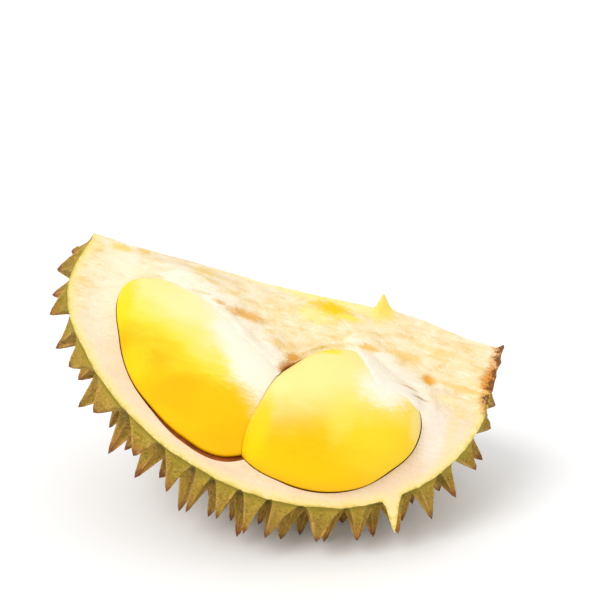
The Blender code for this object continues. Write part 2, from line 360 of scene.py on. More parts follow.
def end_taper(sites):
    """Share of the full spine length: short at the left end, worn stubs at the torn right end."""
    left = np.clip((-sites[:, 0] - 0.55) / 0.45, 0, 1)
    right = np.clip((sites[:, 0] - 0.80) / 0.17, 0, 1)
    return (1 - 0.45 * left) * (1 - 0.85 * right)


def spine_table(rng):
    """Sites, axes and lengths of all the spines of the quarter."""
    sites = scatter_sites(rng)
    lengths = SPINE_LENGTH * end_taper(sites) * rng.uniform(0.80, 1.08, len(sites))
    lengths[: len(RIM_SPINES)] = [spine[2] for spine in RIM_SPINES]
    axes = body_normals(sites)
    axes[:, 0] *= SPINE_LEAN + END_LEAN * np.clip((sites[:, 0] - 0.78) / 0.14, 0, 1)
    axes = axes + rng.normal(0, AXIS_JITTER, axes.shape)
    axes[:, 1:] = np.maximum(axes[:, 1:], 0)  # none leans across a split face
    return sites, unit(axes), lengths


def cell_corners(sites):
    """Directions of the cell corners, and for each site the corners round it in order."""
    hull = bmesh.new()
    verts = [hull.verts.new(site) for site in sites]
    bmesh.ops.convex_hull(hull, input=verts)
    bmesh.ops.triangulate(hull, faces=hull.faces)
    hull.normal_update()
    hull.faces.index_update()
    corners = np.array([face.normal for face in hull.faces])
    middles = [face.calc_center_median() for face in hull.faces]
    corners *= np.sign((corners * middles).sum(1))[:, None]
    rounds = []
    for vert, site in zip(verts, sites):
        side = Vector(site).orthogonal().normalized()
        other = Vector(site).cross(side)
        found = [face.index for face in vert.link_faces]
        rounds.append(
            sorted(found, key=lambda i: math.atan2(other.dot(corners[i]), side.dot(corners[i])))
        )
    hull.free()
    return corners, rounds


def coarse_cells(sites):
    """Ball of flat triangles: each cell is a fan round its site, split at corners and mid-sides.

    The point attribute share runs from 0 at a site to 1 at its cell's border, and ridge from 0
    at a mid-side to 1 at a corner.
    """
    corners, rounds = cell_corners(sites)
    points = [*sites, *corners]
    share = [0.0] * len(sites) + [1.0] * len(corners)
    ridge = [0.0] * len(sites) + [1.0] * len(corners)
    middles = {}
    faces = []
    for site, order in enumerate(rounds):
        for first, second in zip(order, order[1:] + order[:1]):
            side = (min(first, second), max(first, second))
            if side not in middles:
                middles[side] = len(points)
                points.append((corners[first] + corners[second]) / 2)
                share.append(1.0)
                ridge.append(0.0)
            a, middle, b = first + len(sites), middles[side], second + len(sites)
            faces += [(site, a, middle), (site, middle, b)]
    mesh = bpy.data.meshes.new("husk_visual")
    mesh.from_pydata([tuple(point) for point in points], [], faces)
    for name, values in (("share", share), ("ridge", ridge)):
        mesh.attributes.new(name, "FLOAT", "POINT").data.foreach_set("value", values)
    return new_piece("husk_visual", mesh)


def spiny_fruit(rng):
    """The whole fruit, with a ridged, hollow-sided spine raised on each cell."""
    sites, axes, lengths = spine_table(rng)
    fruit = coarse_cells(mirrored(sites))
    edit(
        fruit,
        lambda: bpy.ops.mesh.subdivide(number_cuts=SPINE_CUTS),
        lambda: bpy.ops.mesh.remove_doubles(threshold=1e-5),
        face_outwards,
    )
    ways = unit(read_points(fruit))
    signs = np.where(ways < 0, -1.0, 1.0) * (0, 1, 1) + (1, 0, 0)
    nearest = ((ways * signs) @ sites.T).argmax(1)
    share = read_floats(fruit, "share")
    ridge = np.clip(read_floats(fruit, "ridge") / np.maximum(share, 1e-6), 0, 1)
    flank = 1 - ridge**2
    width = np.where(np.abs(sites[:, 2]) < 0.03, CUT_SPINE_WIDTH, 1.0)[nearest]
    out = np.minimum(share / width, 1)
    out = out * (1 + FLANK_HOLLOW * flank * (1 - out))
    rise = np.clip(1 - out**TIP_POWER, 0, 1) ** FOOT_POWER
    bow = unit(rng.normal(0, 1, axes.shape)) * TIP_BOW
    height = (lengths[nearest] * rise)[:, None]
    points = body_points(ways) + height * (axes[nearest] + bow[nearest] * rise[:, None]) * signs
    rough = uneven(points, (260, 260, 260), (0, 0, 0)) * FINE_ROUGHNESS
    rough += uneven(points, (90, 90, 90), (7, 0, 0)) * COARSE_ROUGHNESS
    points += (rough * (1 - 0.7 * rise))[:, None] * ways
    write_points(fruit, points)
    tint = rng.uniform(0, 1, len(sites))
    store_spine_tones(fruit, rise, ridge, share, tint, sites)
    return fruit


def store_spine_tones(fruit, rise, ridge, share, tint, sites):
    """Colour attribute for the skin: rise to the tip, closeness to a ridge, own tint, distance."""
    mesh = fruit.data
    loops = np.empty(len(mesh.loops), int)
    mesh.loops.foreach_get("vertex_index", loops)
    ways = unit(read_points(fruit))
    faces = loops.reshape(-1, 3)
    middles = np.abs(ways[faces].mean(1)) * (0, 1, 1) + ways[faces].mean(1) * (1, 0, 0)
    cell = np.repeat((middles @ sites.T).argmax(1), 3)
    tones = np.stack([rise[loops], ridge[loops], tint[cell], share[loops]], 1)
    layer = mesh.attributes.new("spine", "FLOAT_COLOR", "CORNER")
    layer.data.foreach_set("color", tones.ravel())


# ---------------------------------------------------------------- split faces


def bump_at(x, p, middle, reach):
    """Round or long soft bump of height 1 at a place of a split face."""
    return np.exp(-(((x - middle[0]) / reach[0]) ** 2) - ((p - middle[1]) / reach[1]) ** 2)


def spread(values, turn):
    """Smooth closed curve through values given at equal angles, read at the angle turn."""
    values = np.array(values) / 1000
    place = turn / (2 * math.pi) * len(values)
    first = np.floor(place).astype(int)
    t = place - first
    a, b, c, d = (values[(first + k) % len(values)] for k in (-1, 0, 1, 2))
    bend = (2 * a - 5 * b + 4 * c - d) * t * t + (3 * b - a - 3 * c + d) * t**3
    return b + 0.5 * ((c - a) * t + bend)


def pod_rise(pod, x, p):
    """Height of a pod above the front split plane, falling steeply outside its outline.

    It comes with the distance from the pod's middle, 1 on the outline, and the angle.
    """
    dx, dp = x - pod["middle"][0], p - pod["middle"][1]
    turn = np.arctan2(dp, dx) % (2 * math.pi)
    out = np.hypot(dx, dp) / spread(pod["radii"], turn)
    left = np.clip(1 - np.minimum(out, 1) ** POD_FULLNESS, 0, 1) ** (1 / POD_FULLNESS)
    rise = pod["bulge"] * (left - 3.0 * np.maximum(out - 1, 0)) - POD_SINK + FRONT_CUT
    return rise, out, turn


def off_cling(pod, turn):
    """How far an angle is from the middle of the arc that the membrane clings to; 1 at its end."""
    middle, half_width = pod["cling"][:2]
    return np.abs((turn - middle + math.pi) % (2 * math.pi) - math.pi) / half_width


def larger(first, second, round_off):
    """The larger of two heights, with a fillet where they cross."""
    return (first + second + np.sqrt((first - second) ** 2 + round_off**2)) / 2


def membrane(pod, x, p):
    """Height of the torn membrane that clings to a pod's core side, and how much of it is there."""
    rise, out, turn = pod_rise(pod, x, p)
    places = flat_places(x, p)
    away = off_cling(pod, turn)
    ragged = 0.10 * uneven(places, (75, 75, 0), (3, 0, 1))
    ragged = ragged + 0.05 * uneven(places, (260, 260, 0), (0, 4, 2))
    edge = pod["cling"][2]
    inner = edge + (1 - edge) * away**2 + ragged
    cover = np.clip((out - inner) / 0.20 + 0.5, 0, 1) * np.clip((1.15 - away) / 0.3, 0, 1)
    return rise - 0.0030 + FILM * cover, cover


def cling_closeness(pod, x, p, reach):
    """How near a place outside a pod is to the side that the membrane clings to, from 0 to 1."""
    _, out, turn = pod_rise(pod, x, p)
    beyond = np.maximum(out - 1, 0) * spread(pod["radii"], turn)
    return np.exp(-((beyond / reach) ** 2)) * np.clip((1.5 - off_cling(pod, turn)) / 0.6, 0, 1)


def front_relief(x, p):
    """Height of the front split face above its plane."""
    places = flat_places(x, p)
    height = FACE_CORE * np.exp(-(((p - 0.004) / 0.016) ** 2))
    height += FACE_RELIEF * uneven(places, (28, 40, 0), (0, 0, 3.1))
    warped = places + np.outer(uneven(places, (38, 38, 0), (2, 0, 7.0)), (0.0, 0.007, 0.0))
    fibrous = np.clip((0.062 - p) / 0.040, 0.15, 1)
    height += fibrous * FIBRES * uneven(warped, (60, 190, 0), (0, 0, 8.0))
    height += fibrous * FINE_FIBRES * uneven(warped, (190, 430, 0), (4, 0, 2.0))
    height += FRONT_GRAIN * uneven(places, (400, 400, 0), (0, 9, 5.0))
    beside_end = np.exp(-(((x - 0.1) / 0.006) ** 2))
    height += END_TEAR * beside_end * uneven(places, (210, 330, 0), (6, 0, 4.0))
    lumpy = 1 + 0.30 * uneven(places, (110, 150, 0), (8, 0, 1.0))
    height += BANK * lumpy * cling_closeness(POD_LEFT, x, p, 0.012)
    height += 0.9 * BANK * lumpy * cling_closeness(POD_RIGHT, x, p, 0.011)
    for pod in (POD_LEFT, POD_RIGHT):
        over, cover = membrane(pod, x, p)
        height = larger(height, over, 0.0004 + 0.0040 * cover)
    _, out, turn = pod_rise(POD_RIGHT, x, p)
    thread = np.exp(-(((out - 1.07) / 0.022) ** 2))
    thread = thread * np.exp(-(((turn - math.radians(240)) / 0.34) ** 2))
    height += THREAD_RISE * thread
    for depth, middle, reach in FRONT_PITS:
        height -= depth * bump_at(x, p, middle, reach)
    return height


def back_relief(x, q):
    """Height of the back split face above its plane."""
    places = flat_places(x, q)
    dish = bump_at(x, q, (0, 0.060), (0.062, 0.030))
    height = FACE_RELIEF * uneven(places, (28, 34, 0), (0, 0, 9.4)) - BACK_DISH * dish
    height += BACK_CORE * np.exp(-((q / 0.015) ** 2))
    fibrous = np.clip(1 - 1.6 * dish, 0.1, 1)
    height += fibrous * FIBRES * uneven(places, (55, 330, 0), (0, 0, 18.0))
    height += BACK_GRAIN * uneven(places, (300, 300, 0), (0, 9, 15.0))
    return height


def ridge_height(x):
    """How far the core edge stands up: a low hump, a torn spur on it, and a curl at the end."""
    places = flat_places(x)
    hump = RIDGE_RISE * np.exp(-(((x - 0.045) / 0.045) ** 2))
    beside = x - SPUR_PLACE
    spur = SPUR_RISE * np.exp(-((np.abs(beside) / np.where(beside < 0, *SPUR_WIDTHS)) ** 1.4))
    curl = CURL_RISE * np.exp(-(((x - CURL_PLACE) / 0.0016) ** 2))
    frayed = FRAY * uneven(places, (300, 0, 0), (0, 2.2, 0.7))
    return hump + spur + curl + 0.0010 * uneven(places, (45, 0, 0), (0, 1.7, 5.2)) + frayed


def split_wedge():
    """The quarter that is kept: a fine sheet bent along the core into both split faces."""
    columns = round((SHEET_X[1] - SHEET_X[0]) / SHEET_STEP_X)
    rows = 2 * round(SHEET_REACH / SHEET_STEP_P)
    activate_nothing()
    bpy.ops.mesh.primitive_grid_add(x_subdivisions=columns, y_subdivisions=rows, size=2)
    wedge = bpy.context.active_object
    wedge.name = "split_wedge"
    flat = read_points(wedge)
    x = np.interp(flat[:, 0], (-1, 1), SHEET_X)
    beside = x - SPUR_PLACE
    x = x - 0.6 * beside * np.exp(-((beside / 0.012) ** 2))  # finer columns at the spur
    along = -flat[:, 1] * SHEET_REACH
    front = np.maximum(along, 0)
    back = np.maximum(-along, 0)
    near = np.exp(-((along / CORE_EDGE) ** 2))
    edge = ridge_height(x)
    lift = front_relief(x, BACK_CUT + front) * (along >= 0) * (1 - near)
    sink = back_relief(x, FRONT_CUT + back) * (along < 0) * (1 - near)
    p = BACK_CUT + front - sink - 0.8 * edge * near
    q = FRONT_CUT + back - lift - 0.6 * edge * near
    write_points(wedge, np.stack([x, p, q], 1))
    beyond = {"value": (0, SHEET_REACH + 0.01, SHEET_REACH + 0.01)}
    edit(
        wedge,
        lambda: bpy.ops.mesh.extrude_region_move(TRANSFORM_OT_translate=beyond),
        lambda: bpy.ops.mesh.select_all(action="SELECT"),
        lambda: bpy.ops.mesh.quads_convert_to_tris(quad_method="BEAUTY", ngon_method="BEAUTY"),
        face_outwards,
    )
    paint_all(wedge, PITH)
    return wedge


def torn_stub():
    """Remains of the stalk seat: a short thick plug with a frayed outer face."""
    activate_nothing()
    bpy.ops.mesh.primitive_cylinder_add(
        vertices=120,
        radius=STUB_RADIUS,
        depth=STUB_DEPTH,
        end_fill_type="TRIFAN",
        rotation=(0, math.pi / 2, 0),
    )
    stub = bpy.context.active_object
    stub.name = "torn_stub"
    bpy.ops.object.transform_apply(location=True, rotation=True, scale=True)
    edit(stub, lambda: bpy.ops.mesh.subdivide(number_cuts=7), face_outwards)
    points = read_points(stub)
    points[:, 0] += STUB_REACH - STUB_DEPTH / 2
    outer = np.clip((points[:, 0] - STUB_REACH + 0.006) / 0.006, 0, 1)
    across = np.hypot(points[:, 1], points[:, 2])
    fray = uneven(points, (60, 420, 420), (3, 0, 0)) * 0.0022
    fray = fray + uneven(points, (90, 150, 150), (0, 5, 0)) * 0.0020
    points[:, 0] += outer * (fray - 0.0012 - 0.0030 * (across / STUB_RADIUS) ** 6)
    shrink = 1 + uneven(points, (60, 90, 90), (5, 5, 0)) * 0.03
    shrink = shrink + uneven(points, (60, 500, 500), (0, 5, 9)) * 0.012
    points[:, 1:] *= shrink[:, None]
    write_points(stub, points)
    paint_all(stub, TORN)
    return stub


# ---------------------------------------------------------------- pods


def pod_ball(name, pod, subdivisions, gaps=0.0):
    """Ball shaped to a pod: its outline puffed up to the front and down into the husk.

    The gaps widen it, by one measure in metres or by one in mm at each of the pod's radii.
    """
    activate_nothing()
    bpy.ops.mesh.primitive_ico_sphere_add(subdivisions=subdivisions, radius=1)
    ball = bpy.context.active_object
    ball.name = name
    ball.data.name = name
    ways = unit(read_points(ball))
    across = np.hypot(ways[:, 0], ways[:, 1])
    full = (across**POD_FULLNESS + np.abs(ways[:, 2]) ** POD_FULLNESS) ** (-1 / POD_FULLNESS)
    turn = np.arctan2(ways[:, 1], ways[:, 0]) % (2 * math.pi)
    extra = gaps
    if np.ndim(gaps):
        deep = np.clip(-ways[:, 2] / 0.12, 0, 1)
        extra = spread(gaps, turn) * (1 - deep) - 0.0006 * deep
    radius = (spread(pod["radii"], turn) + extra) * across * full
    height = np.where(ways[:, 2] > 0, pod["bulge"], pod["depth"]) + extra
    x = pod["middle"][0] + radius * np.cos(turn)
    p = pod["middle"][1] + radius * np.sin(turn)
    write_points(ball, np.stack([x, p, POD_SINK - ways[:, 2] * full * height], 1))
    edit(ball, face_outwards)
    return ball


def pod_hollow(name, pod):
    """Hollow in the husk that a pod lies in."""
    hollow = pod_ball(name, pod, 6, pod["gaps"])
    paint_all(hollow, SOCKET)
    return hollow


def flesh_pod(name, pod, shift):
    """One pod, with the soft swells and folds of ripe flesh."""
    ball = pod_ball(name, pod, 7)
    points = read_points(ball)
    middle = np.array((*pod["middle"], 0.0))
    ways = unit(points - middle)
    soft = uneven(points, (30, 30, 30), (shift, 0, 0)) * 0.00055
    fold = uneven(points, (48, 95, 70), (0, shift, 0)) * 0.00022
    depth = soft + fold + uneven(points, (240, 330, 280), (0, 0, shift)) * 0.00005
    write_points(ball, points + ways * (depth - 0.0002)[:, None])
    return ball


# ---------------------------------------------------------------- finished meshes


def store_place(piece):
    """Attribute for the materials: place (x, p, q) in mm."""
    place = piece.data.attributes.new("place", "FLOAT_VECTOR", "POINT")
    place.data.foreach_set("vector", (read_points(piece) * 1000).astype(np.float32).ravel())


def store_cling(piece):
    """Attribute for the pith: how near a place is to the flesh that its membrane clings to."""
    x, p = read_points(piece).T[:2]
    near = np.maximum(*[cling_closeness(pod, x, p, 0.009) for pod in (POD_LEFT, POD_RIGHT)])
    piece.data.attributes.new("cling", "FLOAT", "POINT").data.foreach_set("value", near)


def store_rind_distance(piece):
    """Attribute for the pith: distance in mm to the nearest skin."""
    points = read_points(piece)
    skin = np.zeros(len(points), bool)
    for face in piece.data.polygons:
        if face.material_index == SKIN:
            skin[list(face.vertices)] = True
    tree = kdtree.KDTree(int(skin.sum()))
    for index in np.flatnonzero(skin):
        tree.insert(points[index], index)
    tree.balance()
    far = [0.0 if on_skin else tree.find(point)[2] * 1000 for on_skin, point in zip(skin, points)]
    piece.data.attributes.new("rind", "FLOAT", "POINT").data.foreach_set("value", far)


def set_in_world(piece):
    """Move a finished mesh from the local frame to the world."""
    write_points(piece, to_world(read_points(piece)))


def floor_block():
    """Block under the piece that wears the lowest spine tips flat, in the local frame."""
    activate_nothing()
    bpy.ops.mesh.primitive_cube_add(size=0.5, location=(0, 0, -0.25))
    block = bpy.context.active_object
    block.name = "floor_block"
    bpy.ops.object.transform_apply(location=True, rotation=True, scale=True)
    write_points(block, to_local(read_points(block)))
    paint_all(block, SKIN)
    return block


def make_husk(materials):
    """Husk with its skin, split faces, hollows and torn end; the materials follow the slots."""
    rng = np.random.default_rng(SEED)
    husk = spiny_fruit(rng)
    for made in materials:
        husk.data.materials.append(made)
    paint_all(husk, SKIN)
    tools = (
        (torn_stub(), "UNION"),
        (split_wedge(), "INTERSECT"),
        (pod_hollow("hollow_left", POD_LEFT), "DIFFERENCE"),
        (pod_hollow("hollow_right", POD_RIGHT), "DIFFERENCE"),
        (floor_block(), "DIFFERENCE"),
    )
    for tool, operation in tools:
        for made in materials:
            tool.data.materials.append(made)
        carve(husk, tool, operation)
    store_place(husk)
    store_rind_distance(husk)
    store_cling(husk)
    set_in_world(husk)
    activate(husk)
    bpy.ops.object.shade_smooth_by_angle(angle=math.radians(38))
    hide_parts("husk")
    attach(husk, "root")
    return husk


def make_pods(left_material, right_material):
    """Both pods, the left one pressed in by the right one."""
    left = flesh_pod("pod_left_visual", POD_LEFT, 2.0)
    right = flesh_pod("pod_right_visual", POD_RIGHT, 11.0)
    carve(left, pod_ball("press", POD_RIGHT, 6, 0.0001), "DIFFERENCE")
    pods = ((left, "pod_left", left_material), (right, "pod_right", right_material))
    for pod, node_name, made in pods:
        pod.data.materials.clear()
        pod.data.materials.append(made)
        paint_all(pod, 0)
        store_place(pod)
        set_in_world(pod)
        activate(pod)
        bpy.ops.object.shade_smooth_by_angle(angle=math.radians(60))
        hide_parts(node_name)
        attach(pod, "root")


# ---------------------------------------------------------------- node helpers


BUMP_DEPTH = 0.0012


def linear(red, green, blue):
    """Linear colour from the 0 to 255 values of a paint chart."""
    values = [channel / 255 for channel in (red, green, blue)]
    return (*[v / 12.92 if v <= 0.04045 else ((v + 0.055) / 1.055) ** 2.4 for v in values], 1)


def add(tree, kind, inputs, **settings):
    made = tree.nodes.new(kind)
    for name, value in settings.items():
        setattr(made, name, value)
    for socket, value in inputs.items():
        if isinstance(value, bpy.types.NodeSocket):
            tree.links.new(value, made.inputs[socket])
        else:
            made.inputs[socket].default_value = value
    return made


def attribute(tree, name, output):
    return add(tree, "ShaderNodeAttribute", {}, attribute_name=name).outputs[output]


def calc(tree, operation, first, second=0.0):
    return add(tree, "ShaderNodeMath", {0: first, 1: second}, operation=operation).outputs[0]


def vector_calc(tree, operation, first, second=(0, 0, 0)):
    return add(tree, "ShaderNodeVectorMath", {0: first, 1: second}, operation=operation)


def blend(tree, factor, first, second):
    made = add(tree, "ShaderNodeMix", {0: factor, 6: first, 7: second}, data_type="RGBA")
    return made.outputs[2]


def ease(tree, value, low, high):
    """0 below low and 1 above high, with a soft step between; reversed where low is above high."""
    ends = {1: min(low, high), 2: max(low, high), 3: float(low > high), 4: float(low < high)}
    inputs = {0: value, **ends}
    return add(tree, "ShaderNodeMapRange", inputs, interpolation_type="SMOOTHSTEP").outputs[0]


def lay_over(tree, colour, mask, strength, tint):
    """Colour with a tint laid over it where the mask is, at most as strongly as given."""
    return blend(tree, calc(tree, "MULTIPLY", mask, strength), colour, tint)


def wander(tree, value, clouding, swing):
    """Value shifted by clouds, up or down by half the swing."""
    centred = calc(tree, "SUBTRACT", clouding, 0.5)
    return calc(tree, "ADD", value, calc(tree, "MULTIPLY", centred, swing))


def lay_stains(tree, colour, place, stain, stains):
    """Colour with stains laid over it: middle, reach, raggedness, tint and strength of each."""
    for middle, reach, ragged, tint, strength in stains:
        mask = use(tree, stain, "Mask", Place=place, Middle=middle, Reach=reach, Ragged=ragged)
        colour = lay_over(tree, colour, mask, strength, tint)
    return colour


def set_uniform(shader, values):
    """Set the shader's own sockets, for what is the same all over a surface."""
    for socket, value in values.items():
        shader.inputs[socket].default_value = value


def emboss(tree, shader, height, strength):
    """Bump from a height, at most BUMP_DEPTH deep at full strength."""
    inputs = {"Strength": strength, "Distance": BUMP_DEPTH, "Height": height}
    bump = add(tree, "ShaderNodeBump", inputs)
    tree.links.new(bump.outputs[0], shader.inputs["Normal"])


def scaled(tree, vector, scale, turn=(0, 0, 0)):
    inputs = {"Vector": vector, "Scale": scale, "Rotation": turn}
    return add(tree, "ShaderNodeMapping", inputs).outputs[0]


def clouds(tree, vector, scale, detail=3.0, roughness=0.55, distortion=0.0):
    inputs = {
        "Vector": vector,
        "Scale": scale,
        "Detail": detail,
        "Roughness": roughness,
        "Distortion": distortion,
    }
    return add(tree, "ShaderNodeTexNoise", inputs).outputs[0]


def new_material(name):
    made = bpy.data.materials.new(name)
    made.use_nodes = True
    tree = made.node_tree
    return made, tree, tree.nodes["Principled BSDF"]


def new_group(name, inputs, outputs):
    """Empty node group; inputs are (name, socket type, default), outputs (name, socket type)."""
    tree = bpy.data.node_groups.new(name, "ShaderNodeTree")
    for label, kind, default in inputs:
        socket = tree.interface.new_socket(label, in_out="INPUT", socket_type=kind)
        if default is not None:
            socket.default_value = default
    for label, kind in outputs:
        tree.interface.new_socket(label, in_out="OUTPUT", socket_type=kind)
    return tree, tree.nodes.new("NodeGroupInput"), tree.nodes.new("NodeGroupOutput")


def use(tree, group, output, **values):
    """Place a group; underscores in the names stand for spaces."""
    made = tree.nodes.new("ShaderNodeGroup")
    made.node_tree = group
    for label, value in values.items():
        socket = made.inputs[label.replace("_", " ")]
        if isinstance(value, bpy.types.NodeSocket):
            tree.links.new(value, socket)
        else:
            socket.default_value = value
    return made.outputs[output]


def stain_group():
    """Ragged soft spot or streak round a middle, in mm of the local frame."""
    inputs = (
        ("Place", "NodeSocketVector", None),
        ("Middle", "NodeSocketVector", (0, 0, 0)),
        ("Reach", "NodeSocketVector", (5, 5, 5)),
        ("Ragged", "NodeSocketFloat", 0.5),
    )
    tree, given, result = new_group("stain", inputs, (("Mask", "NodeSocketFloat"),))
    away = vector_calc(tree, "SUBTRACT", given.outputs["Place"], given.outputs["Middle"])
    away = vector_calc(tree, "DIVIDE", away.outputs[0], given.outputs["Reach"])
    far = vector_calc(tree, "LENGTH", away.outputs[0]).outputs["Value"]
    streaks = scaled(tree, given.outputs["Place"], (0.25, 0.9, 0.9))
    torn = calc(tree, "SUBTRACT", clouds(tree, streaks, 1.0, 4.0, 0.65), 0.5)
    torn = calc(tree, "MULTIPLY", torn, given.outputs["Ragged"])
    far = calc(tree, "ADD", far, calc(tree, "MULTIPLY", torn, 4.0))
    tree.links.new(ease(tree, far, 1.25, 0.35), result.inputs["Mask"])
    return tree


def speckle_group():
    """Small scattered dots: 1 on a dot, 0 elsewhere."""
    inputs = (
        ("Place", "NodeSocketVector", None),
        ("Scale", "NodeSocketFloat", 1.0),
        ("Size", "NodeSocketFloat", 0.2),
    )
    tree, given, result = new_group("speckle", inputs, (("Mask", "NodeSocketFloat"),))
    cells = {"Vector": given.outputs["Place"], "Scale": given.outputs["Scale"], "Randomness": 1.0}
    dots = add(tree, "ShaderNodeTexVoronoi", cells)
    near = calc(tree, "SUBTRACT", dots.outputs["Distance"], given.outputs["Size"])
    few = ease(tree, clouds(tree, given.outputs["Place"], 0.35, 2.0), 0.42, 0.60)
    mask = calc(tree, "MULTIPLY", ease(tree, near, 0.06, -0.02), few)
    tree.links.new(mask, result.inputs["Mask"])
    return tree


# ---------------------------------------------------------------- materials

CREAM = linear(252, 241, 222)  # where the membrane clings

# Stains, in mm of the local frame: middle, reach, raggedness, tint, strength.
BURNT_STAIN = ((98.5, 19, 0), (4.0, 8.5, 60), 0.55, linear(222, 142, 44), 0.85)
PITH_STAINS = (
    ((-98, 26, 0), (15, 30, 60), 0.45, linear(249, 236, 208), 0.75),
    ((-102, 6, 0), (6.5, 2.2, 30), 0.45, linear(246, 212, 112), 0.85),
    ((-90.6, 4.4, 0), (4.0, 2.4, 30), 0.45, linear(238, 204, 120), 0.85),
    ((-71, 0.5, 0), (5.0, 0.9, 30), 0.30, linear(226, 206, 150), 0.8),
    ((-58.5, 7, 0), (7.5, 2.4, 30), 0.45, linear(248, 212, 132), 0.85),
    ((-56, 18.5, 0), (5.0, 0.9, 30), 0.50, linear(232, 200, 136), 0.6),
    ((-80, 16, 0), (3.5, 0.7, 30), 0.40, linear(236, 206, 144), 0.6),
    ((-46, 21.0, 0), (4.0, 1.3, 30), 0.40, linear(222, 186, 110), 0.85),
    ((-31, 22.8, 0), (13, 3.2, 30), 0.35, linear(232, 176, 84), 0.9),
    ((-9, 33, 0), (9.0, 3.0, 30), 0.50, linear(240, 206, 134), 0.7),
    ((-2.6, 37, 0), (5.0, 2.8, 30), 0.40, linear(222, 158, 56), 0.9),
    ((-1, 44.5, 0), (8.0, 6.0, 30), 0.25, linear(206, 126, 20), 1.0),
    ((6, 2.0, 0), (44, 3.4, 30), 0.40, linear(250, 234, 148), 0.75),
    ((10, 6.5, 0), (12, 4.8, 30), 0.45, linear(246, 200, 0), 1.0),
    ((19.5, 8.5, 0), (7.0, 2.0, 30), 0.40, linear(244, 224, 84), 0.85),
    ((3, 12, 0), (12, 5, 30), 0.50, linear(253, 232, 120), 0.6),
    ((36.0, -1.5, 0), (6.5, 8.5, 30), 0.35, linear(244, 220, 100), 0.95),
    ((33.6, 21.7, 0), (6.5, 2.4, 30), 0.45, linear(238, 188, 80), 0.85),
    ((53.8, 20, 0), (8.5, 3.0, 30), 0.50, linear(243, 204, 120), 0.8),
    ((56, 36.5, 0), (7, 0.9, 60), 0.60, linear(184, 140, 70), 0.75),
    ((64, 40.0, 0), (6, 0.8, 60), 0.60, linear(184, 140, 70), 0.75),
    ((68, 28.2, 0), (4.4, 3.2, 30), 0.30, linear(238, 166, 30), 0.95),
    ((86, 27.4, 0), (17, 1.7, 30), 0.30, linear(246, 206, 130), 0.85),
    ((80, 36, 0), (7, 3, 30), 0.5, linear(252, 232, 150), 0.6),
    ((78, 54, 0), (9, 20, 60), 0.45, linear(251, 236, 222), 0.7),
    ((86, 56, 0), (4, 24, 60), 0.45, linear(246, 222, 160), 0.5),
    ((74, 12, 0), (16, 2.2, 30), 0.50, linear(247, 212, 140), 0.7),
)

# Tones of the flesh, as flesh_material lays them.
LEFT_STEPS = (
    ((0.40, -0.92), -18.0, 0.0, linear(252, 220, 50)),
    ((0.40, -0.92), -8.0, 14.0, linear(249, 230, 150)),
    ((0.75, -0.66), 2.0, 16.0, linear(252, 241, 220)),
)
LEFT_PATCHES = (
    ((-93, 34, 0), (7, 20, 60), 0.25, linear(252, 214, 10), 0.8),
    ((-60, 28, 0), (16, 9, 60), 0.35, linear(251, 235, 168), 0.7),
    ((-78, 62, 0), (9, 12, 60), 0.30, linear(252, 214, 20), 0.6),
    ((-30, 72, 0), (22, 14, 60), 0.30, linear(250, 190, 0), 0.9),
)
RIGHT_STEPS = (
    ((-0.70, 0.70), 26.0, -8.0, linear(251, 210, 40)),
    ((-0.35, -0.94), -10.0, 20.0, linear(249, 228, 146)),
)
RIGHT_PATCHES = (
    ((20, 93, 0), (44, 9, 60), 0.15, linear(250, 196, 0), 0.9),
    ((-10, 78, 0), (7, 20, 60), 0.15, linear(250, 206, 0), 0.9),
    ((13, 29, 0), (9, 3, 60), 0.20, linear(232, 220, 30), 0.85),
    ((45, 42, 0), (16, 12, 60), 0.30, linear(252, 240, 218), 0.95),
    ((28, 62, 0), (8, 16, 60), 0.30, linear(251, 224, 96), 0.5),
    ((68, 50, 0), (7, 15, 60), 0.30, linear(251, 232, 150), 0.7),
)


